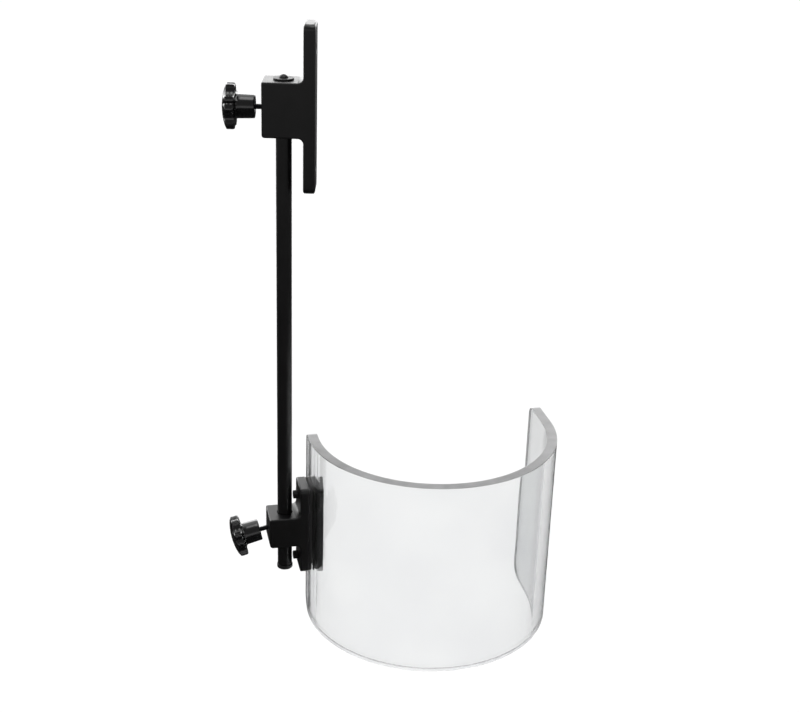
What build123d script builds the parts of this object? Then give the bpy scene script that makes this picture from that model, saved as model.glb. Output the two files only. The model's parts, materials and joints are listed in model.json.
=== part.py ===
from build123d import *
import os
from math import cos, radians, sqrt, tan

# Adjustable machine guard: a bolted bracket holds a round rod, and a clamp on
# the rod carries a clear bent shield.
# Frame: origin at the centre of the bracket's mounting face, +X out of that
# face, +Z up along the rod, -Y towards the person at the machine.

# Rod and its stop
rod_radius = 8.5
rod_length = 582.0
rod_end_chamfer = 0.8
running_gap = 0.05
bore_chamfer = 0.8
stop_washer_lip = 2.5
stop_washer_thickness = 2.0
stop_screw_length = 16.0
end_plug_lip = 0.8
end_plug_thickness = 5.0
end_plug_spigot_radius = 4.0
end_plug_spigot_length = 12.0
end_plug_edge = 1.2

# Mounting bracket
bracket_depth = 39.0
mount_block_reach = 22.0
mount_block_height = 58.5
mount_plate_gap = 21.5
mount_plate_thickness = 12.7
mount_plate_height = 178.0
mount_root_fillet = 6.0
mount_nose_fillet = 3.0
mount_corner = 6.0
mount_end_round = 3.0
mount_hole_radius = 4.5
mount_hole_spacing = 125.0

# Clamp bracket
clamp_drop = 502.0
clamp_swing = 12.0
clamp_block_reach = 20.0
clamp_block_height = 38.0
clamp_plate_gap = 16.0
clamp_plate_thickness = 11.0
clamp_plate_height = 111.0
clamp_root_fillet = 5.0
clamp_nose_fillet = 4.0
clamp_corner = 5.0
clamp_end_round = 2.0

# Shield
shield_radius = 148.0
shield_thickness = 12.0
shield_height = 238.0
shield_above_clamp = 113.5
shield_clamp_leg = 18.0
shield_free_leg = 50.0
shield_top_corner = 10.0
shield_bottom_corner = 20.0

# Sandwich that holds the shield
gasket_thickness = 1.0
gasket_margin = 1.0
backing_thickness = 5.0
clamp_screw_spacing = 82.0
clamp_screw_recess = 1.4
screw_hole_gap = 0.3
shield_hole_gap = 0.5

# M6 hardware
m6_radius = 3.0
m6_thread_gap = 0.05
m6_socket_head_radius = 5.0
m6_socket_head_height = 6.0
m6_socket_key = 5.0
m6_socket_depth = 3.0
m6_button_head_radius = 5.25
m6_button_head_height = 3.3
m6_button_key = 4.0
m6_button_depth = 2.0
head_edge = 0.5
blind_hole_gap = 1.0

# Star knobs
knob_radius = 25.0
knob_lobes = 5
knob_scallop_radius = 9.0
knob_scallop_centre = 28.0
knob_lobe_fillet = 4.0
knob_rim_length = 14.5
knob_rim_edge = 2.5
knob_dome = 4.5
knob_hub_length = 20.0
knob_hub_radius = 12.9
knob_hub_end_radius = 12.4
knob_hub_edge = 2.2
knob_stud_embed = 22.0
knob_pad_length = 3.0
knob_pad_gap = 0.12
upper_stud_showing = 8.0
lower_stud_showing = 10.0
lower_knob_droop = 14.0

# Places that follow from the sizes
rod_to_face = mount_plate_gap + mount_plate_thickness
rod_axis = Pos(-rod_to_face, 0, 0)
clamp_frame = Pos(-rod_to_face, 0, -clamp_drop) * Rot(0, 0, clamp_swing)
bore_radius = rod_radius + running_gap
thread_hole_radius = m6_radius + m6_thread_gap
screw_hole_radius = m6_radius + screw_hole_gap
half_depth = bracket_depth / 2
rod_top = mount_block_height / 2
shield_face = clamp_plate_gap + clamp_plate_thickness + gasket_thickness
inner_radius = shield_radius - shield_thickness
inner_sag = inner_radius - sqrt(inner_radius**2 - half_depth**2)
backing_face = shield_face + shield_thickness + inner_sag + gasket_thickness
stop_washer_radius = rod_radius + stop_washer_lip
end_plug_radius = rod_radius + end_plug_lip
clamp_screw_length = backing_face + backing_thickness - clamp_screw_recess - clamp_plate_gap

# Cuts run this far past the faces they leave, and faces this close count as one
cut_past = 1.0
near = 0.01


def along_x(x):
    """Frame at distance x from the rod axis whose +Z points along +X."""
    return Pos(x, 0, 0) * Rot(0, 90, 0)


def drill(body, radius, start, end, z=0):
    """Remove a round hole along X that passes both stations, z up from the rod's middle."""
    length = end - start + 2 * cut_past
    return body - Pos(0, 0, z) * along_x((start + end) / 2) * Cylinder(radius, length)


def tee_bracket(block_reach, block_height, plate_gap, plate_thickness, plate_height,
                root_fillet, nose_fillet, corner, end_round):
    """Block round the rod and a flat plate, one piece, rod axis at x = 0."""
    block = Pos((plate_gap - block_reach) / 2, 0) * Rectangle(plate_gap + block_reach, block_height)
    plate = Pos(plate_gap + plate_thickness / 2, 0) * Rectangle(plate_thickness, plate_height)
    profile = block + plate
    roots = profile.vertices().filter_by(
        lambda v: abs(v.X - plate_gap) < near and abs(abs(v.Y) - block_height / 2) < near)
    profile = fillet(roots, root_fillet)
    nose = profile.vertices().filter_by(lambda v: v.X < near - block_reach and v.Y < 0)
    profile = fillet(nose, nose_fillet)
    ends = profile.vertices().filter_by(lambda v: abs(abs(v.Y) - plate_height / 2) < near)
    profile = fillet(ends, end_round)
    body = extrude(Plane.XZ * profile, amount=half_depth, both=True)
    outline = fillet(Rectangle(bracket_depth, plate_height).vertices(), corner)
    reach = block_reach + plate_gap + plate_thickness
    return body & extrude(Plane.YZ * outline, amount=reach, both=True)


def rod_bore(body, height):
    """Bore the block for the rod, with a chamfer at each mouth."""
    body = body - Cylinder(bore_radius, height)
    mouth = Cone(bore_radius + bore_chamfer, bore_radius, bore_chamfer)
    lower = Pos(0, 0, -height / 2 + bore_chamfer / 2) * mouth
    upper = Pos(0, 0, height / 2 - bore_chamfer / 2) * Rot(180, 0, 0) * mouth
    return body - lower - upper


def star_grip():
    """Moulded star grip: hub end at z = 0, domed face at the far end."""
    star = Circle(knob_radius)
    for turn in range(knob_lobes):
        angle = (turn + 0.5) * 360 / knob_lobes
        star = star - Rot(0, 0, angle) * Pos(knob_scallop_centre, 0) * Circle(knob_scallop_radius)
    star = fillet(star.vertices(), knob_lobe_fillet)
    rim = Pos(0, 0, knob_hub_length) * extrude(star, amount=knob_rim_length)
    back = rim.faces().sort_by(Axis.Z)[0].edges()
    rim = fillet(back, knob_rim_edge)
    dome_radius = (knob_radius**2 + knob_dome**2) / (2 * knob_dome)
    length = knob_hub_length + knob_rim_length
    rim = rim & Pos(0, 0, length - dome_radius) * Sphere(dome_radius)
    hub = Pos(0, 0, knob_hub_length / 2) * Cone(knob_hub_end_radius, knob_hub_radius, knob_hub_length)
    hub = fillet(hub.edges().sort_by(Axis.Z)[0], knob_hub_edge)
    grip = hub + rim
    return grip - Pos(0, 0, knob_stud_embed / 2) * Cylinder(m6_radius, knob_stud_embed)


def knob_set(stud_showing, reach, tilt):
    """Grip, stud and pad on one axis; z = 0 is where the stud leaves the block.

    reach is the distance along the axis from there to the rod's surface."""
    pad_gap = knob_pad_gap + m6_radius * tan(radians(tilt))
    pad_start = -reach + pad_gap
    stud_start = pad_start + knob_pad_length
    stud_length = stud_showing + knob_stud_embed - stud_start
    grip = Pos(0, 0, stud_showing) * star_grip()
    stud = Pos(0, 0, stud_start + stud_length / 2) * Cylinder(m6_radius, stud_length)
    stud = chamfer(stud.edges().sort_by(Axis.Z)[0], head_edge)
    pad = Pos(0, 0, pad_start + knob_pad_length / 2) * Cylinder(m6_radius, knob_pad_length)
    return grip, stud, pad


def socket_screw(length):
    """M6 socket head cap screw, underside of the head at z = 0, shank down."""
    head = Pos(0, 0, m6_socket_head_height / 2) * Cylinder(m6_socket_head_radius, m6_socket_head_height)
    head = chamfer(head.edges().sort_by(Axis.Z)[-1], head_edge)
    socket = extrude(RegularPolygon(m6_socket_key / 2, 6, major_radius=False), amount=m6_socket_depth)
    shank = Pos(0, 0, -length / 2) * Cylinder(m6_radius, length)
    shank = chamfer(shank.edges().sort_by(Axis.Z)[0], head_edge)
    return head + shank - Pos(0, 0, m6_socket_head_height - m6_socket_depth) * socket


def button_screw(length):
    """M6 button head screw, underside of the head at z = 0, shank down."""
    ball = (m6_button_head_radius**2 + m6_button_head_height**2) / (2 * m6_button_head_height)
    head = Pos(0, 0, m6_button_head_height / 2) * Cylinder(m6_button_head_radius, m6_button_head_height)
    head = head & Pos(0, 0, m6_button_head_height - ball) * Sphere(ball)
    socket = extrude(RegularPolygon(m6_button_key / 2, 6, major_radius=False), amount=m6_button_depth)
    shank = Pos(0, 0, -length / 2) * Cylinder(m6_radius, length)
    shank = chamfer(shank.edges().sort_by(Axis.Z)[0], head_edge)
    return head + shank - Pos(0, 0, m6_button_head_height - m6_button_depth) * socket


def washer(radius, hole_radius, thickness):
    """Flat washer standing on z = 0."""
    ring = Cylinder(radius, thickness) - Cylinder(hole_radius, thickness)
    return Pos(0, 0, thickness / 2) * ring


def guarded_space(offset):
    """Plan area inside the shield's surface at an inward offset, as a tall solid."""
    radius = shield_radius - offset
    centre = shield_face + shield_radius
    front = Pos(centre, 0) * Circle(radius)
    back = Pos(centre, bracket_depth / 2) * Rectangle(2 * radius, bracket_depth)
    return Pos(0, 0, shield_above_clamp - shield_height) * extrude(front + back, amount=shield_height)


def shield():
    """Bent clear sheet: clamped leg, half-round front and free leg."""
    centre = shield_face + shield_radius
    outer_left = (shield_face, 0)
    outer_right = (centre + shield_radius, 0)
    inner_left = (shield_face + shield_thickness, 0)
    inner_right = (centre + inner_radius, 0)
    profile = make_face([
        Line((shield_face, shield_clamp_leg), outer_left),
        ThreePointArc(outer_left, (centre, -shield_radius), outer_right),
        Line(outer_right, (outer_right[0], shield_free_leg)),
        Line((outer_right[0], shield_free_leg), (inner_right[0], shield_free_leg)),
        Line((inner_right[0], shield_free_leg), inner_right),
        ThreePointArc(inner_right, (centre, -inner_radius), inner_left),
        Line(inner_left, (inner_left[0], shield_clamp_leg)),
        Line((inner_left[0], shield_clamp_leg), (shield_face, shield_clamp_leg)),
    ])
    sheet = Pos(0, 0, shield_above_clamp - shield_height) * extrude(profile, amount=shield_height)
    top = sheet.edges().filter_by(Axis.X).filter_by(lambda e: e.center().Z > shield_above_clamp - near)
    sheet = fillet(top, shield_top_corner)
    bottom = sheet.edges().filter_by(Axis.X).filter_by(
        lambda e: e.center().Z < shield_above_clamp - shield_height + near)
    sheet = fillet(bottom, shield_bottom_corner)
    for side in (-1, 1):
        z = side * clamp_screw_spacing / 2
        sheet = drill(sheet, m6_radius + shield_hole_gap, shield_face, shield_face + shield_thickness, z)
    return sheet


def pressed_sheet(start, end, height, hole_radius):
    """Plate-shaped slab between two x stations with rounded corners and screw holes."""
    slab = Pos((start + end) / 2, 0, 0) * Box(end - start, bracket_depth, height)
    slab = fillet(slab.edges().filter_by(Axis.X), clamp_corner)
    for side in (-1, 1):
        slab = drill(slab, hole_radius, start, end, side * clamp_screw_spacing / 2)
    return slab


nodes = {}

# Mounting bracket
bracket = tee_bracket(mount_block_reach, mount_block_height, mount_plate_gap, mount_plate_thickness,
                      mount_plate_height, mount_root_fillet, mount_nose_fillet, mount_corner,
                      mount_end_round)
bracket = rod_bore(bracket, mount_block_height)
bracket = drill(bracket, thread_hole_radius, -mount_block_reach, 0)
for side in (-1, 1):
    bracket = drill(bracket, mount_hole_radius, mount_plate_gap, rod_to_face, side * mount_hole_spacing / 2)
nodes["mounting_bracket"] = rod_axis * bracket

# Rod, stop screw, stop washer and end plug
rod = Cylinder(rod_radius, rod_length)
rod = chamfer(rod.edges().filter_by(GeomType.CIRCLE), rod_end_chamfer)
rod = Pos(0, 0, rod_top - rod_length / 2) * rod
stop_hole = stop_screw_length - stop_washer_thickness + blind_hole_gap
plug_hole = end_plug_spigot_length + blind_hole_gap
rod_bottom = rod_top - rod_length
rod = rod - Pos(0, 0, rod_top - stop_hole / 2) * Cylinder(thread_hole_radius, stop_hole)
rod = rod - Pos(0, 0, rod_bottom + plug_hole / 2) * Cylinder(end_plug_spigot_radius, plug_hole)
plug = Pos(0, 0, rod_bottom - end_plug_thickness / 2) * Cylinder(end_plug_radius, end_plug_thickness)
plug = fillet(plug.edges(), end_plug_edge)
spigot = Pos(0, 0, rod_bottom + end_plug_spigot_length / 2) * Cylinder(
    end_plug_spigot_radius, end_plug_spigot_length)
stop_washer = washer(stop_washer_radius, screw_hole_radius, stop_washer_thickness)
nodes["guard_rod"] = rod_axis * rod
nodes["rod_end_plug"] = rod_axis * (plug + spigot)
nodes["rod_stop_washer"] = rod_axis * Pos(0, 0, rod_top) * stop_washer
nodes["rod_stop_screw"] = (rod_axis * Pos(0, 0, rod_top + stop_washer_thickness)
                           * button_screw(stop_screw_length))

# Upper knob, square to the block
upper_place = rod_axis * Pos(-mount_block_reach, 0, 0) * Rot(0, -90, 0)
upper_reach = mount_block_reach - rod_radius
grip, stud, pad = knob_set(upper_stud_showing, upper_reach, 0)
nodes["upper_knob_grip"] = upper_place * grip
nodes["upper_knob_stud"] = upper_place * stud
nodes["upper_knob_pad"] = upper_place * pad

# Clamp bracket and its knob, whose hole slopes down and out
lower_place = Pos(-clamp_block_reach, 0, 0) * Rot(0, -90 - lower_knob_droop, 0)
lower_reach = (clamp_block_reach - rod_radius) / cos(radians(lower_knob_droop))
clamp = tee_bracket(clamp_block_reach, clamp_block_height, clamp_plate_gap, clamp_plate_thickness,
                    clamp_plate_height, clamp_root_fillet, clamp_nose_fillet, clamp_corner,
                    clamp_end_round)
clamp = rod_bore(clamp, clamp_block_height)
clamp = clamp - lower_place * Cylinder(thread_hole_radius, 2 * lower_reach)
for side in (-1, 1):
    clamp = drill(clamp, screw_hole_radius, clamp_plate_gap, clamp_plate_gap + clamp_plate_thickness,
                  side * clamp_screw_spacing / 2)
nodes["clamp_bracket"] = clamp_frame * clamp
grip, stud, pad = knob_set(lower_stud_showing, lower_reach, lower_knob_droop)
nodes["lower_knob_grip"] = clamp_frame * lower_place * grip
nodes["lower_knob_stud"] = clamp_frame * lower_place * stud
nodes["lower_knob_pad"] = clamp_frame * lower_place * pad

# Shield, gaskets and backing plate
filled = guarded_space(0)
hollow = guarded_space(shield_thickness)
gasket_height = clamp_plate_height - 2 * gasket_margin
outer_gasket = pressed_sheet(shield_face - gasket_thickness, shield_face + shield_thickness / 2,
                             gasket_height, screw_hole_radius)
inner_gasket = pressed_sheet(backing_face - gasket_thickness - inner_sag - near, backing_face,
                             gasket_height, screw_hole_radius)
backing = pressed_sheet(backing_face, backing_face + backing_thickness, clamp_plate_height,
                        thread_hole_radius)
nodes["outer_gasket"] = clamp_frame * (outer_gasket - filled)
nodes["inner_gasket"] = clamp_frame * (inner_gasket & hollow)
nodes["backing_plate"] = clamp_frame * backing
nodes["guard_shield"] = clamp_frame * shield()

# Screws through the sandwich, threaded into the backing plate
screws = []
for side in (-1, 1):
    place = Pos(clamp_plate_gap, 0, side * clamp_screw_spacing / 2) * Rot(0, -90, 0)
    screws.append(place * socket_screw(clamp_screw_length))
nodes["clamp_screws"] = clamp_frame * Compound(children=screws)

os.makedirs("parts", exist_ok=True)
for name, shape in nodes.items():
    export_step(shape, f"parts/{name}.step")
    print(name, len(shape.solids()), round(shape.volume))
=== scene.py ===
import json
import math
import bpy
import bmesh
from mathutils import Matrix, Vector


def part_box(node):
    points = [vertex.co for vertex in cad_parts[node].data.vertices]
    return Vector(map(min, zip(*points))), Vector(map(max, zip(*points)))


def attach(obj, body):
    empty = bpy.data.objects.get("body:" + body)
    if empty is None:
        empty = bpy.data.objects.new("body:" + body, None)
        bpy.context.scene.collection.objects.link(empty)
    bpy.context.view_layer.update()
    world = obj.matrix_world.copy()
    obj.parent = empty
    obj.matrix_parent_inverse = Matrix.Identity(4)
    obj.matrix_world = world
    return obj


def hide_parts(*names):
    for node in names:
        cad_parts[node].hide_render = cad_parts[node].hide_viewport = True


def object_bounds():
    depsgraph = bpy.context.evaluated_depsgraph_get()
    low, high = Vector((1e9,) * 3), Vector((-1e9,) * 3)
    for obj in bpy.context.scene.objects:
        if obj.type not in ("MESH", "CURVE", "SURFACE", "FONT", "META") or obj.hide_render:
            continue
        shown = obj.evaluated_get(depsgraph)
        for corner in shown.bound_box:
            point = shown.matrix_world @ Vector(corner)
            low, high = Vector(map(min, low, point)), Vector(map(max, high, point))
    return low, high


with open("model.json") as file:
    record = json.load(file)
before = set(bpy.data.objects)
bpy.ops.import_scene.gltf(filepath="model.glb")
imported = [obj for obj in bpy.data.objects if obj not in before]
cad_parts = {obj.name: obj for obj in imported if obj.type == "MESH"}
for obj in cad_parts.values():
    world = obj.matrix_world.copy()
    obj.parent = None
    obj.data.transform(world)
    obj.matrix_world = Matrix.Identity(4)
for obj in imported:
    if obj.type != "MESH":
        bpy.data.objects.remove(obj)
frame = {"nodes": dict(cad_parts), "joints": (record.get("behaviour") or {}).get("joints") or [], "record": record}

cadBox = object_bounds()
nodes = frame["nodes"]
joints = {joint["name"]: joint for joint in frame["joints"]}
mm = 0.001
print("frame loaded,", len(nodes), "CAD nodes")


# small helpers

def hexColor(text):  # sRGB hex to linear RGBA
    channels = [int(text[i:i + 2], 16) / 255 for i in (1, 3, 5)]
    linear = [c / 12.92 if c <= 0.04045 else ((c + 0.055) / 1.055) ** 2.4 for c in channels]
    return (*linear, 1.0)


def addNode(tree, kind, settings=None, links=None):  # one node, its settings and what feeds it
    node = tree.nodes.new(kind)
    for name, value in (settings or {}).items():
        if isinstance(name, int) or name in node.inputs:
            node.inputs[name].default_value = value
        else:
            setattr(node, name, value)
    for name, source in (links or {}).items():
        tree.links.new(source, node.inputs[name])
    return node


def startMaterial(name):
    material = bpy.data.materials.new(name)
    material.use_nodes = True
    tree = material.node_tree
    tree.nodes.clear()
    out = addNode(tree, "ShaderNodeOutputMaterial")
    where = addNode(tree, "ShaderNodeTexCoord")
    return material, tree, out, where.outputs["Object"]


def grain(tree, where, size, detail, stretch=(1, 1, 1)):  # noise whose features are size metres wide
    spread = addNode(tree, "ShaderNodeMapping", {"Scale": stretch}, {"Vector": where})
    return addNode(tree, "ShaderNodeTexNoise",
                   {"Scale": 1 / size, "Detail": detail, "Roughness": 0.5},
                   {"Vector": spread.outputs[0]}).outputs["Fac"]


def blendColors(tree, factor, low, high):  # most of a noise lies between 0.3 and 0.7
    ramp = addNode(tree, "ShaderNodeValToRGB", links={"Fac": factor})
    for element, position, color in zip(ramp.color_ramp.elements, (0.3, 0.7), (low, high)):
        element.position = position
        element.color = hexColor(color)
    return ramp.outputs["Color"]


def mapRange(tree, factor, low, high):
    return addNode(tree, "ShaderNodeMapRange", {"To Min": low, "To Max": high},
                   {"Value": factor}).outputs["Result"]


def bump(tree, height, depth, strength):
    return addNode(tree, "ShaderNodeBump", {"Distance": depth, "Strength": strength},
                   {"Height": height}).outputs["Normal"]


# materials

def satinPowderCoat():  # black polyester powder baked on steel: even, faintly pebbled, soft sheen
    material, tree, out, where = startMaterial("satin_black_powder_coat")
    peel = grain(tree, where, 1.4 * mm, 2.0)
    cloud = grain(tree, where, 22 * mm, 4.0)
    shader = addNode(tree, "ShaderNodeBsdfPrincipled",
                     {"IOR": 1.5, "Specular IOR Level": 0.5},
                     {"Base Color": blendColors(tree, cloud, "#050405", "#090809"),
                      "Roughness": mapRange(tree, cloud, 0.3, 0.42),
                      "Normal": bump(tree, peel, 0.02 * mm, 0.6)})
    tree.links.new(shader.outputs[0], out.inputs["Surface"])
    return material


def blackGroundRod():  # centreless-ground bar, black oxide: dark metal with rings too fine to feel
    material, tree, out, where = startMaterial("black_oxide_ground_steel")
    rings = grain(tree, where, 0.5 * mm, 2.0, (0.05, 0.05, 1))
    cloud = grain(tree, where, 30 * mm, 3.0)
    shader = addNode(tree, "ShaderNodeBsdfPrincipled",
                     {"IOR": 1.5, "Specular IOR Level": 0.5},
                     {"Base Color": blendColors(tree, cloud, "#060506", "#0c0b0c"),
                      "Roughness": mapRange(tree, rings, 0.28, 0.4),
                      "Normal": bump(tree, rings, 0.01 * mm, 0.35)})
    tree.links.new(shader.outputs[0], out.inputs["Surface"])
    return material


def blackOxideSteel():  # dipped and oiled fasteners: near black, slightly mottled
    material, tree, out, where = startMaterial("black_oxide_steel")
    mottle = grain(tree, where, 1.5 * mm, 4.0)
    shader = addNode(tree, "ShaderNodeBsdfPrincipled",
                     {"IOR": 1.5, "Specular IOR Level": 0.4},
                     {"Base Color": blendColors(tree, mottle, "#0b0b0c", "#171617"),
                      "Roughness": mapRange(tree, mottle, 0.35, 0.5),
                      "Normal": bump(tree, mottle, 0.01 * mm, 0.4)})
    tree.links.new(shader.outputs[0], out.inputs["Surface"])
    return material


def phosphatedStud():  # rolled thread, dark grey phosphate
    material, tree, out, where = startMaterial("phosphated_steel")
    mottle = grain(tree, where, 0.8 * mm, 4.0)
    shader = addNode(tree, "ShaderNodeBsdfPrincipled",
                     {"Metallic": 0.8},
                     {"Base Color": blendColors(tree, mottle, "#26262a", "#45454a"),
                      "Roughness": mapRange(tree, mottle, 0.35, 0.55),
                      "Normal": bump(tree, mottle, 0.01 * mm, 0.4)})
    tree.links.new(shader.outputs[0], out.inputs["Surface"])
    return material


def mouldedKnobPlastic():  # glossy black phenolic from a polished mould, with faint flow marks
    material, tree, out, where = startMaterial("moulded_black_phenolic")
    flow = grain(tree, where, 9 * mm, 3.0)
    skin = grain(tree, where, 1.0 * mm, 2.0)
    shader = addNode(tree, "ShaderNodeBsdfPrincipled",
                     {"IOR": 1.55, "Specular IOR Level": 0.5},
                     {"Base Color": blendColors(tree, flow, "#060607", "#0b0b0c"),
                      "Roughness": mapRange(tree, flow, 0.14, 0.24),
                      "Normal": bump(tree, skin, 0.012 * mm, 0.35)})
    tree.links.new(shader.outputs[0], out.inputs["Surface"])
    return material


def turnedBrass():  # soft pad, turned on a lathe
    material, tree, out, where = startMaterial("turned_brass")
    rings = grain(tree, where, 0.3 * mm, 2.0)
    shader = addNode(tree, "ShaderNodeBsdfPrincipled",
                     {"Metallic": 1.0},
                     {"Base Color": blendColors(tree, rings, "#a8853f", "#c9a75a"),
                      "Roughness": mapRange(tree, rings, 0.25, 0.4),
                      "Normal": bump(tree, rings, 0.01 * mm, 0.4)})
    tree.links.new(shader.outputs[0], out.inputs["Surface"])
    return material


def mouldedPlug():  # low-density polyethylene plug, matt and waxy
    material, tree, out, where = startMaterial("moulded_black_polyethylene")
    skin = grain(tree, where, 1.2 * mm, 3.0)
    shader = addNode(tree, "ShaderNodeBsdfPrincipled",
                     {"IOR": 1.51, "Specular IOR Level": 0.35},
                     {"Base Color": blendColors(tree, skin, "#111111", "#1a1a1a"),
                      "Roughness": mapRange(tree, skin, 0.42, 0.55),
                      "Normal": bump(tree, skin, 0.02 * mm, 0.5)})
    tree.links.new(shader.outputs[0], out.inputs["Surface"])
    return material


def gasketRubber():  # calendered rubber sheet, dull with a fine cloth-like skin
    material, tree, out, where = startMaterial("calendered_rubber")
    skin = grain(tree, where, 0.6 * mm, 3.0)
    shader = addNode(tree, "ShaderNodeBsdfPrincipled",
                     {"IOR": 1.52, "Specular IOR Level": 0.3},
                     {"Base Color": blendColors(tree, skin, "#131313", "#1e1d1d"),
                      "Roughness": mapRange(tree, skin, 0.6, 0.75),
                      "Normal": bump(tree, skin, 0.03 * mm, 0.6)})
    tree.links.new(shader.outputs[0], out.inputs["Surface"])
    return material


def clearOrShadow(tree, out, shader, shade):  # what is seen, and the pale shade it casts
    clear = addNode(tree, "ShaderNodeBsdfTransparent", {"Color": hexColor(shade)})
    rays = addNode(tree, "ShaderNodeLightPath")
    mix = addNode(tree, "ShaderNodeMixShader",
                  links={0: rays.outputs["Is Shadow Ray"], 1: shader.outputs[0], 2: clear.outputs[0]})
    tree.links.new(mix.outputs[0], out.inputs["Surface"])


def bentAcrylic():  # cast acrylic, heat-bent: clear, faintly grey, with a slight ripple from the oven
    material, tree, out, where = startMaterial("heat_bent_clear_acrylic")
    ripple = grain(tree, where, 60 * mm, 1.0)
    tint = grain(tree, where, 90 * mm, 2.0)
    shader = addNode(tree, "ShaderNodeBsdfPrincipled",
                     {"Transmission Weight": 1.0, "IOR": 1.49},
                     {"Base Color": blendColors(tree, tint, "#ecedee", "#f2f3f3"),
                      "Roughness": mapRange(tree, tint, 0.0, 0.02),
                      "Normal": bump(tree, ripple, 0.25 * mm, 0.5)})
    clearOrShadow(tree, out, shader, "#f6f7f7")
    return material


def scrapedEdgePaintedShade():  # sawn, scraped and buffed edge: half matt, lined along its length; its grey is painted shade, standing in for the dim light the edge carries through the sheet
    material, tree, out, where = startMaterial("scraped_acrylic_edge_painted_shade")
    lines = grain(tree, where, 1.2 * mm, 3.0, (0.25, 0.25, 1))
    patch = grain(tree, where, 14 * mm, 3.0)
    shader = addNode(tree, "ShaderNodeBsdfPrincipled",
                     {"Transmission Weight": 0.45, "IOR": 1.49},
                     # the grey base colour is painted shade; the scraped lines and half matt finish are real
                     {"Base Color": blendColors(tree, patch, "#8b8b8c", "#a3a3a4"),
                      "Roughness": mapRange(tree, patch, 0.28, 0.42),
                      "Normal": bump(tree, lines, 0.03 * mm, 0.6)})
    clearOrShadow(tree, out, shader, "#dcdcdc")
    return material


finishes = {
    "bracket_paint": satinPowderCoat(),
    "rod_steel": blackGroundRod(),
    "screw_steel": blackOxideSteel(),
    "stud_steel": phosphatedStud(),
    "knob_plastic": mouldedKnobPlastic(),
    "pad_brass": turnedBrass(),
    "plug_plastic": mouldedPlug(),
    "gasket_rubber": gasketRubber(),
    "shield_clear": bentAcrylic(),
}
slotOf = {part["node"]: part["material_slot"] for part in frame["record"]["subparts"]}
for name, cadNode in nodes.items():
    for spot in cadNode.material_slots:
        spot.material = finishes[slotOf[name]]
print("materials made:", len(finishes))


# cast and turned edges of CAD pieces are softened, their faces stay where they are

edgeSoftness = {
    "mounting_bracket": 1.6 * mm, "clamp_bracket": 1.6 * mm, "backing_plate": 0.5 * mm,
    "outer_gasket": 0.15 * mm, "inner_gasket": 0.15 * mm, "rod_stop_washer": 0.3 * mm,
}
softening = {"mergeWithin": 0.002 * mm, "flatWithin": 1, "edgeOver": 50, "steps": 4}  # turns in degrees
for name, width in edgeSoftness.items():
    joined = nodes[name].modifiers.new("joined corners", "WELD")
    joined.merge_threshold = softening["mergeWithin"]
    flat = nodes[name].modifiers.new("whole flat faces", "DECIMATE")
    flat.decimate_type = "DISSOLVE"
    flat.angle_limit = math.radians(softening["flatWithin"])
    soft = nodes[name].modifiers.new("soft edges", "BEVEL")
    soft.width = width
    soft.segments = softening["steps"]
    soft.limit_method = "ANGLE"
    soft.angle_limit = math.radians(softening["edgeOver"])
    soft.use_clamp_overlap = False
    soft.harden_normals = True
print("edges softened:", len(edgeSoftness))


# places and bodies taken from the frame

rodSpot = Vector(joints["rod_turn"]["pos_m"])
knobLine = Vector(joints["lower_knob_turn"]["axis"])
swing = math.atan2(-knobLine.y, -knobLine.x)  # how far the clamp is turned about the rod
shieldLow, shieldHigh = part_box("guard_shield")
clampLow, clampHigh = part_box("clamp_bracket")
clampMiddle = (clampLow.z + clampHigh.z) / 2
clampPlace = Matrix.Translation((rodSpot.x, rodSpot.y, 0)) @ Matrix.Rotation(swing, 4, "Z")
bodyOf = {node: body for body, group in frame["record"]["behaviour"]["bodies"].items() for node in group}


def addPiece(name, mesh, node, sharp):  # new piece that stands for a CAD node and moves as it did
    mesh.materials.clear()
    mesh.materials.append(finishes[slotOf[node]])
    mesh.shade_smooth()
    mesh.set_sharp_from_angle(angle=math.radians(sharp))
    piece = bpy.data.objects.new(name, mesh)
    bpy.context.collection.objects.link(piece)
    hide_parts(node)
    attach(piece, bodyOf[node])
    return piece


def ringLoft(bm, rings, segments, outline, place):  # skins rings of (height, radius, amount) round +Z
    rows = []
    for height, radius, amount in rings:
        row = []
        for step in range(segments):
            angle = 2 * math.pi * step / segments
            reach = outline(angle, height, radius, amount)
            spot = Vector((reach * math.cos(angle), reach * math.sin(angle), height))
            row.append(bm.verts.new(place @ spot))
        rows.append(row)
    for lower, upper in zip(rows, rows[1:]):
        for step in range(segments):
            after = (step + 1) % segments
            bm.faces.new((lower[step], lower[after], upper[after], upper[step]))
    bm.faces.new(list(reversed(rows[0])))
    bm.faces.new(rows[-1])


def finishMesh(bm, name):
    bmesh.ops.recalc_face_normals(bm, faces=bm.faces[:])
    if bm.calc_volume(signed=True) < 0:  # clear stock bends light the wrong way if its skin is inside out
        bmesh.ops.reverse_faces(bm, faces=bm.faces[:])
    mesh = bpy.data.meshes.new(name)
    bm.to_mesh(mesh)
    bm.free()
    return mesh


# clear shield: a flat blank with rounded corners and two holes, then bent

shieldPlan = {
    "radius": 148 * mm, "thickness": 12 * mm, "face": 28 * mm,
    "clampLeg": 18 * mm, "freeLeg": 50 * mm,
    "topCorner": 10 * mm, "bottomCorner": 20 * mm,
    "holeRadius": 3.5 * mm, "holeSpacing": 82 * mm,
    "edgeRound": 0.7 * mm, "edgeSteps": 2, "bendSteps": 130, "cornerSteps": 10, "holeSteps": 36,
    "mergeWithin": 0.01 * mm, "cutWithin": 0.001 * mm, "edgeBelow": 0.9, "sharpOver": 60,
}


def roundCorner(x, y, radius, startTurn):
    steps = shieldPlan["cornerSteps"]
    turns = [math.radians(startTurn + 90 * step / steps) for step in range(steps + 1)]
    return [(x + radius * math.cos(turn), y + radius * math.sin(turn)) for turn in turns]


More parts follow.
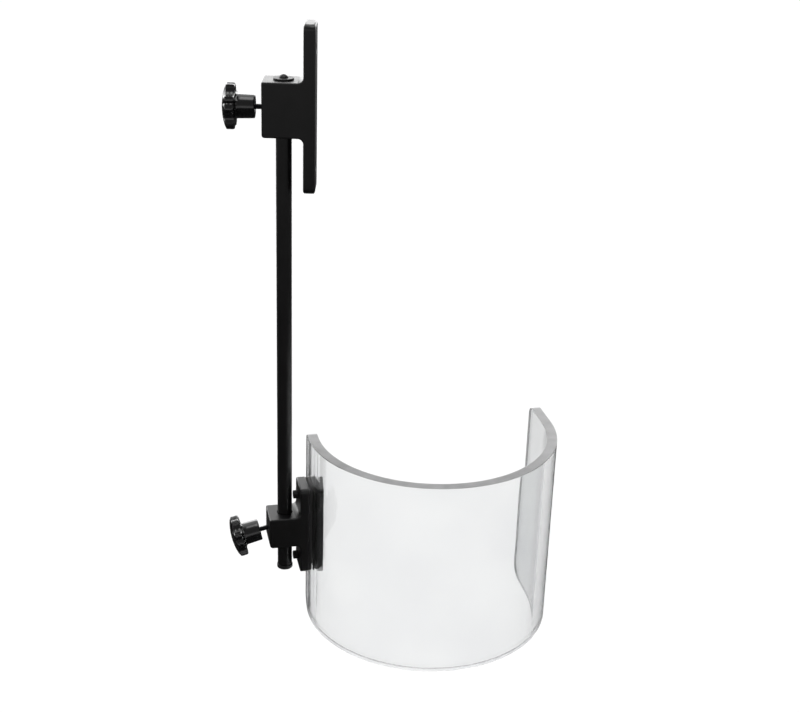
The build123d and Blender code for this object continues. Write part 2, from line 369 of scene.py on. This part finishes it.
def addLoop(curve, points):
    spline = curve.splines.new("POLY")
    spline.points.add(len(points) - 1)
    for spot, (x, y) in zip(spline.points, points):
        spot.co = (x, y, 0, 1)
    spline.use_cyclic_u = True


def flatBlank(length, low, high):
    curve = bpy.data.curves.new("shield_blank", "CURVE")
    curve.dimensions = "2D"
    curve.fill_mode = "BOTH"
    top, bottom = shieldPlan["topCorner"], shieldPlan["bottomCorner"]
    addLoop(curve, roundCorner(bottom, low + bottom, bottom, 180)
            + roundCorner(length - bottom, low + bottom, bottom, 270)
            + roundCorner(length - top, high - top, top, 0)
            + roundCorner(top, high - top, top, 90))
    count = shieldPlan["holeSteps"]
    for side in (-1, 1):
        height = clampMiddle + side * shieldPlan["holeSpacing"] / 2
        turns = [2 * math.pi * step / count for step in range(count)]
        addLoop(curve, [(shieldPlan["clampLeg"] + shieldPlan["holeRadius"] * math.cos(turn),
                         height + shieldPlan["holeRadius"] * math.sin(turn)) for turn in turns])
    curve.offset = -shieldPlan["edgeRound"]
    curve.bevel_depth = shieldPlan["edgeRound"]
    curve.bevel_resolution = shieldPlan["edgeSteps"]
    curve.extrude = shieldPlan["thickness"] / 2 - shieldPlan["edgeRound"]
    holder = bpy.data.objects.new("shield_blank", curve)
    mesh = bpy.data.meshes.new_from_object(holder)
    bpy.data.objects.remove(holder)
    return mesh


def bendSheet(spot):  # flat (along, up, through) to the bent shape about the rod
    centre = shieldPlan["face"] + shieldPlan["radius"]
    middle = shieldPlan["radius"] - shieldPlan["thickness"] / 2
    along, up, through = spot
    reach = middle - through
    turn = (along - shieldPlan["clampLeg"]) / middle
    if turn < 0:
        bent = (centre - reach, shieldPlan["clampLeg"] - along)
    elif turn < math.pi:
        bent = (centre - reach * math.cos(turn), -reach * math.sin(turn))
    else:
        bent = (centre + reach, (turn - math.pi) * middle)
    return clampPlace @ Vector((*bent, up))


def makeShield():
    middle = shieldPlan["radius"] - shieldPlan["thickness"] / 2
    length = shieldPlan["clampLeg"] + math.pi * middle + shieldPlan["freeLeg"]
    blank = flatBlank(length, shieldLow.z, shieldHigh.z)
    bm = bmesh.new()
    bm.from_mesh(blank)
    bpy.data.meshes.remove(blank)
    bmesh.ops.remove_doubles(bm, verts=bm.verts[:], dist=shieldPlan["mergeWithin"])
    for step in range(shieldPlan["bendSteps"] + 1):
        along = shieldPlan["clampLeg"] + math.pi * middle * step / shieldPlan["bendSteps"]
        bmesh.ops.bisect_plane(bm, geom=bm.verts[:] + bm.edges[:] + bm.faces[:],
                               dist=shieldPlan["cutWithin"], plane_co=(along, 0, 0), plane_no=(1, 0, 0))
    bm.normal_update()
    edgeFaces = [int(abs(face.normal.z) < shieldPlan["edgeBelow"]) for face in bm.faces]
    for vert in bm.verts:
        vert.co = bendSheet(vert.co)
    mesh = finishMesh(bm, "clear_shield")
    shield = addPiece("clear_shield", mesh, "guard_shield", shieldPlan["sharpOver"])
    # rim faces get the scraped edge, whose grey colour is painted shade
    shield.data.materials.append(scrapedEdgePaintedShade())
    for face, isEdge in zip(shield.data.polygons, edgeFaces):
        face.material_index = isEdge
    shield.visible_diffuse = False  # the floor is lit through the clear sheet once, by its shadow rays
    weighted = shield.modifiers.new("even normals", "WEIGHTED_NORMAL")
    weighted.keep_sharp = True
    weighted.weight = 100  # by face area alone
    print("shield bent:", len(shield.data.polygons), "faces")


# star knobs: moulded grip and rolled M6 stud

knobPlan = {
    "radius": 25 * mm, "lobes": 5, "scallopRadius": 9 * mm, "scallopCentre": 28 * mm,
    "softness": 2.2 * mm, "softnessGivenBack": 0.12,
    "hubLength": 20 * mm, "hubRadius": 12.9 * mm, "hubEndRadius": 12.4 * mm,
    "rimLength": 14.5 * mm, "dome": 4.5 * mm, "hole": 3 * mm, "inHub": 8 * mm,
    "holeMouth": ((0.9 * mm, 0), (0.2 * mm, 0.7 * mm)),  # height and radius beyond the hole's
    "hubEndRound": ((0, 1.4 * mm), (0.1 * mm, 0.7 * mm),  # height, inset
                    (0.45 * mm, 0.2 * mm), (1.2 * mm, 0)),
    "hubShort": 4 * mm, "hollowStart": 2.8 * mm, "hollowRise": 3 * mm, "hollowReach": 4 * mm,
    "backFace": ((0.3 * mm, 4.5 * mm), (0.45 * mm, 2.8 * mm)),  # height beyond the hub, inset
    "backLipStart": 0.5 * mm, "backLip": 2.4 * mm,
    "seam": 6.4 * mm, "seamHalf": 0.25 * mm, "seamDepth": 0.14 * mm,
    "frontLipStart": 1.6 * mm, "frontLipRise": 1.75 * mm, "frontLip": 1.8 * mm,
    "hubSteps": 5, "roundSteps": 6, "domeSteps": 12, "starSteps": 7, "segments": 180, "sharpOver": 50,
}
threadPlan = {
    "radius": 3 * mm, "depth": 0.61 * mm, "pitch": 1 * mm, "crest": 0.12, "flank": 0.7,
    "tipInset": 0.7 * mm, "tipSlope": 0.9, "rowsPerTurn": 8, "fewestRows": 4,
    "segments": 40, "sharpOver": 180,
}


def starReach(angle):  # round rim with five scoops, their lips softened
    period = 2 * math.pi / knobPlan["lobes"]
    off = (angle % period) - period / 2
    centre, scoop = knobPlan["scallopCentre"], knobPlan["scallopRadius"]
    under = scoop ** 2 - (centre * math.sin(off)) ** 2
    scooped = centre * math.cos(off) - math.sqrt(under) if under > 0 else centre * math.cos(off)
    full, soft = knobPlan["radius"], knobPlan["softness"]
    gap = full - scooped
    return full - (gap + math.sqrt(gap * gap + soft * soft)) / 2 + soft * knobPlan["softnessGivenBack"]


def gripReach(angle, height, radius, amount):
    return radius * (1 - amount) + amount * radius * starReach(angle) / knobPlan["radius"]


def gripRings():
    plan = knobPlan
    full, hub, hubEnd, back = (plan[name] for name in ("radius", "hubRadius", "hubEndRadius", "hubLength"))
    tip = back + plan["rimLength"]
    ball = (full ** 2 + plan["dome"] ** 2) / (2 * plan["dome"])
    rings = [(height, plan["hole"] + beyond, 0) for height, beyond in plan["holeMouth"]]
    rings += [(height, hubEnd - inset, 0) for height, inset in plan["hubEndRound"]]
    hubStart, steps = plan["hubEndRound"][-1][0], plan["hubSteps"]
    for step in range(1, steps + 1):  # slight draft along the hub
        rings.append((hubStart + (back - plan["hubShort"]) * step / steps,
                      hubEnd + (hub - hubEnd) * step / steps, 0))
    steps = plan["roundSteps"]
    turns = [math.pi / 2 * step / steps for step in range(steps + 1)]
    for step, turn in enumerate(turns[1:], 1):  # hollow round from the hub into the back of the star
        rings.append((back - plan["hollowStart"] + plan["hollowRise"] * math.sin(turn),
                      hub + plan["hollowReach"] * (1 - math.cos(turn)), step / steps))
    rings += [(back + height, full - inset, 1) for height, inset in plan["backFace"]]
    for turn in turns[1:]:  # rounded back lip
        rings.append((back + plan["backLipStart"] + plan["backLip"] * (1 - math.cos(turn)),
                      full - plan["backLip"] * (1 - math.sin(turn)), 1))
    seam = back + plan["seam"]
    rings += [(seam - plan["seamHalf"], full, 1), (seam, full - plan["seamDepth"], 1),
              (seam + plan["seamHalf"], full, 1)]
    lip = tip - plan["dome"] - plan["frontLipStart"]
    for turn in turns:  # front lip into the dome
        rings.append((lip + plan["frontLipRise"] * math.sin(turn),
                      full - plan["frontLip"] * (1 - math.cos(turn)), 1))
    for step in range(1, plan["domeSteps"]):  # domed face, the star dies out towards its middle
        radius = (full - plan["frontLip"]) * (1 - step / plan["domeSteps"])
        rings.append((tip - ball + math.sqrt(ball ** 2 - radius ** 2), radius,
                      max(0.0, 1 - step / plan["starSteps"])))
    return rings


def threadReach(angle, height, radius, amount):  # 60 degree thread with flat crests, runs as one helix
    phase = (height / threadPlan["pitch"] - angle / (2 * math.pi)) % 1.0
    slope = abs(phase - 0.5) * 2
    cut = min(1.0, max(0.0, (slope - threadPlan["crest"]) / threadPlan["flank"]))
    return radius - amount * threadPlan["depth"] * cut


def threadRings(start, end):  # from a pointed tip at start
    plan = threadPlan
    rows = max(plan["fewestRows"], round((end - start) / plan["pitch"] * plan["rowsPerTurn"]))
    rings = []
    for row in range(rows + 1):
        height = start + (end - start) * row / rows
        point = plan["radius"] - plan["tipInset"] + (height - start) * plan["tipSlope"]
        rings.append((height, min(plan["radius"], point), 1))
    return rings


def axisPlace(joint):  # +Z along the knob's axis, away from the block
    outward = Vector(joint["axis"]).normalized()
    across = Vector((0, 0, 1)) - outward * outward.z
    across.normalize()
    side = outward.cross(across)
    turn = Matrix((across, side, outward)).transposed().to_4x4()
    return Matrix.Translation(joint["pos_m"]) @ turn


def axisSpan(node, place):  # where a node starts and ends along that axis
    back = place.inverted()
    heights = [(back @ vert.co).z for vert in nodes[node].data.vertices]
    return min(heights), max(heights)


def makeKnob(level):
    joint = joints[level + "_knob_turn"]
    place = axisPlace(joint)
    gripStart = axisSpan(level + "_knob_grip", place)[0]
    studStart = axisSpan(level + "_knob_stud", place)[0]
    gripPlace = place @ Matrix.Translation((0, 0, gripStart))
    bm = bmesh.new()
    ringLoft(bm, gripRings(), knobPlan["segments"], gripReach, gripPlace)
    gripName = level + "_star_grip"
    addPiece(gripName, finishMesh(bm, gripName), level + "_knob_grip", knobPlan["sharpOver"])
    bm = bmesh.new()
    threads = threadRings(studStart, gripStart + knobPlan["inHub"])
    ringLoft(bm, threads, threadPlan["segments"], threadReach, place)
    studName = level + "_threaded_stud"
    addPiece(studName, finishMesh(bm, studName), level + "_knob_stud", threadPlan["sharpOver"])


# clamp screws: knurled cap heads, hexagon sockets, threaded ends

screwPlan = {
    "headRadius": 5 * mm, "headHeight": 6 * mm, "neck": 1 * mm,
    "headSeat": ((0, 0.3 * mm, 0), (0.25 * mm, 0, 1)),  # height, inset, knurl
    "headTop": ((0.9 * mm, 0, 1), (0.5 * mm, 0, 0),  # depth below the top, inset, knurl
                (0.12 * mm, 0.35 * mm, 0), (0, 0.8 * mm, 0)),
    "socket": 2.5 * mm, "socketDepth": 3 * mm, "socketLip": 0.7 * mm, "socketLipDepth": 0.4 * mm,
    "socketPoint": 0.8 * mm, "socketPointRadius": 0.3 * mm,
    "knurls": 40, "knurlDepth": 0.22 * mm,
    "length": 30 * mm, "threaded": 18 * mm, "overlap": 0.1 * mm,
    "seat": 16 * mm, "spacing": 82 * mm, "segments": 240, "sharpOver": 35,
}


def headReach(angle, height, radius, amount):  # amount 1 knurled side, 0 plain, -1 hexagon
    if amount < 0:
        off = (angle % (math.pi / 3)) - math.pi / 6
        return radius / math.cos(off)
    return radius - amount * screwPlan["knurlDepth"] * (0.5 - 0.5 * math.cos(screwPlan["knurls"] * angle))


def makeClampScrews():
    plan = screwPlan
    head, top, socket, shank = plan["headRadius"], plan["headHeight"], plan["socket"], threadPlan["radius"]
    headRings = [(-plan["neck"], shank, 0), (0, shank, 0)]
    headRings += [(height, head - inset, knurl) for height, inset, knurl in plan["headSeat"]]
    headRings += [(top - depth, head - inset, knurl) for depth, inset, knurl in plan["headTop"]]
    bottom = top - plan["socketDepth"]
    headRings += [(top, socket + plan["socketLip"], 0), (top - plan["socketLipDepth"], socket, -1),
                  (bottom, socket, -1), (bottom - plan["socketPoint"], plan["socketPointRadius"], 0)]
    split = plan["threaded"] - plan["length"]
    shankRings = [(split - plan["overlap"], shank, 0), (plan["overlap"] - plan["neck"], shank, 0)]
    bm = bmesh.new()
    for side in (-1, 1):
        seat = Matrix.Translation((plan["seat"], 0, clampMiddle + side * plan["spacing"] / 2))
        place = clampPlace @ seat @ Matrix.Rotation(-math.pi / 2, 4, "Y")
        ringLoft(bm, headRings, plan["segments"], headReach, place)
        ringLoft(bm, threadRings(-plan["length"], split), threadPlan["segments"], threadReach, place)
        ringLoft(bm, shankRings, threadPlan["segments"], headReach, place)
    addPiece("cap_screws", finishMesh(bm, "cap_screws"), "clamp_screws", plan["sharpOver"])


makeShield()
for level in ("upper", "lower"):
    makeKnob(level)
makeClampScrews()
print("pieces made")


# studio

studio = {
    "lens": 61.56, "sensor": 36.0,
    "cameraSpot": (0.07187, -1.42811, 0.31372),
    "pan": -0.986, "tilt": 22.557, "roll": 1.868,
    "floorGap": 0.22, "floorSize": 80.0, "farthest": 100.0,
    "backLight": 1.5, "frontLight": 0.25, "topLight": 3.0,
    "stripLight": 2.4, "hazeLight": 1.0, "belowLight": 0.04,
    "wallFade": ("Y", -0.3, 0.5), "topFade": ("Z", 0.955, 0.975),
    "stripSides": ("Y", 0.2, 0.6), "stripTop": ("Z", 0.25, 0.4),
    "hazeTop": ("Z", 0.15, 0.3), "horizonFade": ("Z", -0.12, -0.06),
}


def placeCamera():
    pan, tilt, roll = (math.radians(studio[name]) for name in ("pan", "tilt", "roll"))
    forward = Vector((-math.sin(pan) * math.cos(tilt), math.cos(pan) * math.cos(tilt), -math.sin(tilt)))
    level = Vector((math.cos(pan), math.sin(pan), 0))
    upright = level.cross(forward)
    right = level * math.cos(roll) + upright * math.sin(roll)
    up = upright * math.cos(roll) - level * math.sin(roll)
    camera = bpy.data.objects.new("camera", bpy.data.cameras.new("camera"))
    bpy.context.collection.objects.link(camera)
    camera.data.lens = studio["lens"]
    camera.data.sensor_width = studio["sensor"]
    camera.data.clip_end = studio["farthest"]
    turn = Matrix((right, up, -forward)).transposed().to_4x4()
    camera.matrix_world = Matrix.Translation(studio["cameraSpot"]) @ turn
    bpy.context.scene.camera = camera


def paleFloor():
    material, tree, out, where = startMaterial("pale_floor")
    soft = grain(tree, where, 0.4, 2.0)
    shader = addNode(tree, "ShaderNodeBsdfPrincipled", {"Specular IOR Level": 0.0},
                     {"Base Color": blendColors(tree, soft, "#f6f6f6", "#f8f8f8"),
                      "Roughness": mapRange(tree, soft, 0.85, 0.9)})
    tree.links.new(shader.outputs[0], out.inputs["Surface"])
    half = studio["floorSize"] / 2
    height = cadBox[0].z - studio["floorGap"]
    corners = [(x * half, y * half, height) for x, y in ((-1, -1), (1, -1), (1, 1), (-1, 1))]
    mesh = bpy.data.meshes.new("floor")
    mesh.from_pydata(corners, [], [(0, 1, 2, 3)])
    mesh.materials.append(material)
    floor = bpy.data.objects.new("floor", mesh)
    bpy.context.collection.objects.link(floor)
    floor.visible_glossy = False  # black faces mirror the dark below the horizon instead of the pale floor


def studioRoom():  # bright wall behind with a strip low on it, a soft box overhead, dark below
    world = bpy.data.worlds.new("studio")
    bpy.context.scene.world = world
    world.use_nodes = True
    tree = world.node_tree
    tree.nodes.clear()
    where = addNode(tree, "ShaderNodeTexCoord").outputs["Generated"]
    split = addNode(tree, "ShaderNodeSeparateXYZ", links={0: where})

    def fade(place, low, high):
        axis, start, end = place
        return addNode(tree, "ShaderNodeMapRange",
                       {"From Min": start, "From Max": end, "To Min": low, "To Max": high,
                        "interpolation_type": "SMOOTHSTEP"}, {"Value": split.outputs[axis]}).outputs[0]

    def combine(operation, first, second):
        return addNode(tree, "ShaderNodeMath", {"operation": operation}, {0: first, 1: second}).outputs[0]

    wall = fade(studio["wallFade"], studio["frontLight"], studio["backLight"])
    softBox = fade(studio["topFade"], 0.0, studio["topLight"])
    backHalf = fade(studio["stripSides"], 0.0, studio["stripLight"])
    lowOnWall = fade(studio["stripTop"], 1.0, 0.0)
    strip = combine("MULTIPLY", backHalf, lowOnWall)
    room = combine("ADD", wall, combine("ADD", strip, softBox))
    haze = fade(studio["hazeTop"], studio["hazeLight"], 0.0)  # pale all round where floor and wall meet
    room = combine("MAXIMUM", room, haze)
    above = fade(studio["horizonFade"], 0.0, 1.0)  # the dark starts a little under the horizon
    lit = combine("MULTIPLY", room, above)
    glow = addNode(tree, "ShaderNodeMath", {"operation": "MAXIMUM", 1: studio["belowLight"]},
                   {0: lit}).outputs[0]
    back = addNode(tree, "ShaderNodeBackground", {"Color": (1, 1, 1, 1)}, {"Strength": glow})
    out = addNode(tree, "ShaderNodeOutputWorld", links={"Surface": back.outputs[0]})
    out.is_active_output = True


placeCamera()
paleFloor()
studioRoom()
bpy.context.scene.view_settings.view_transform = "Standard"
print("studio set")
